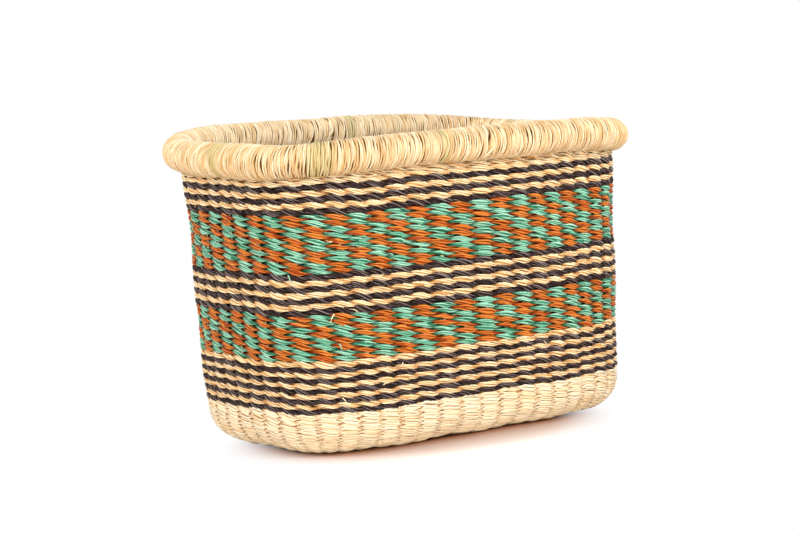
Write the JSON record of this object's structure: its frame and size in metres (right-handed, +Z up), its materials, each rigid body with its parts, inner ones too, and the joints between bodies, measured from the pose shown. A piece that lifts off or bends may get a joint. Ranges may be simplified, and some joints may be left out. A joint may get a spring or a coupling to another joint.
{
  "type": "woven basket",
  "caption": "Open storage basket twined from split grass over upright stakes, a rounded rectangle in plan, with striped and checked bands and a thick wrapped rim.",
  "frame": {"origin": "on the floor, under the middle of the rim's outline", "axes": "+Z up out of the mouth, +X along the long side of the basket"},
  "size_m": [0.369, 0.253, 0.2505],
  "materials": {
    "natural_straw": "matte",
    "black_grass": "satin",
    "teal_and_rust_grass": "matte",
    "stake_straw": "matte",
    "rim_grass": "satin"
  },
  "bodies": {
    "root": {"base_weave": "natural_straw", "foot_weave": "natural_straw", "foot_band": "natural_straw", "black_course_1": "black_grass", "natural_course_1": "natural_straw", "black_course_2": "black_grass", "natural_course_2": "natural_straw", "black_course_3": "black_grass", "natural_course_3": "natural_straw", "black_course_4": "black_grass", "natural_course_4": "natural_straw", "black_course_5": "black_grass", "natural_course_5": "natural_straw", "pattern_lower_1": "teal_and_rust_grass", "pattern_lower_2": "teal_and_rust_grass", "pattern_lower_3": "teal_and_rust_grass", "pattern_lower_4": "teal_and_rust_grass", "black_course_6": "black_grass", "natural_course_6": "natural_straw", "black_course_7": "black_grass", "natural_course_7": "natural_straw", "black_course_8": "black_grass", "natural_course_8": "natural_straw", "black_course_9": "black_grass", "pattern_upper_1": "teal_and_rust_grass", "pattern_upper_2": "teal_and_rust_grass", "pattern_upper_3": "teal_and_rust_grass", "pattern_upper_4": "teal_and_rust_grass", "pattern_upper_5": "teal_and_rust_grass", "black_course_10": "black_grass", "natural_course_9": "natural_straw", "black_course_11": "black_grass", "natural_course_10": "natural_straw", "black_course_12": "black_grass", "top_weave": "natural_straw", "stakes": "stake_straw", "inner_floor": "natural_straw", "inner_foot": "natural_straw", "inner_wall": "natural_straw", "rim_core": "stake_straw", "rim_wrapping": "rim_grass"}
  },
  "joints": []
}
